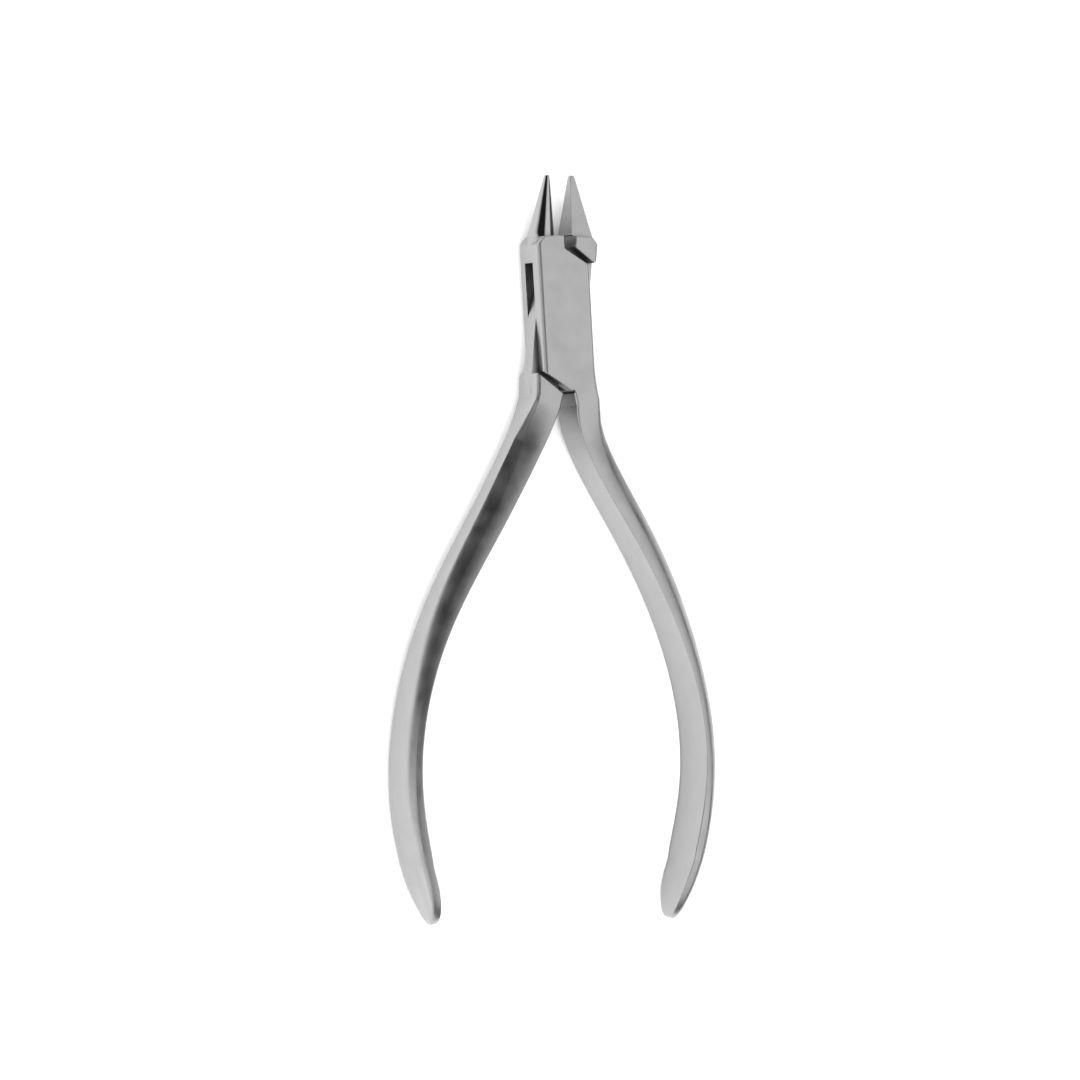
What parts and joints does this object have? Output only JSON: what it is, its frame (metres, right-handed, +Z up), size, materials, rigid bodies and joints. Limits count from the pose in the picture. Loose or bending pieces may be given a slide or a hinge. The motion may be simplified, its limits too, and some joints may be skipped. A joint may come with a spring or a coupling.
{
  "type": "orthodontic pliers",
  "caption": "Steel wire-bending pliers with a box joint, a round conical beak, a flat-sided pyramidal beak and long bowed handles.",
  "frame": {"origin": "on the pivot axis, at the back face of the joint", "axes": "the pliers lie flat: +X runs across them from the cone-beak side to the pyramid-beak side, +Y from the pivot towards the beaks, +Z up along the pivot axis to the front face"},
  "size_m": [0.061, 0.1298, 0.01],
  "materials": {
    "satin_steel": "fine satin stainless steel, with one polished beak"
  },
  "bodies": {
    "box_half": {"box_half": "satin_steel", "pivot_pin": "satin_steel"},
    "tongue_half": {"tongue_half": "satin_steel"}
  },
  "joints": [
    {"name": "jaw_pivot", "type": "hinge", "parent": "box_half", "child": "tongue_half", "pos_m": [0, 0, 0.0037], "axis": [0, 0, -1], "range_deg": [-8.6, 20]}
  ]
}
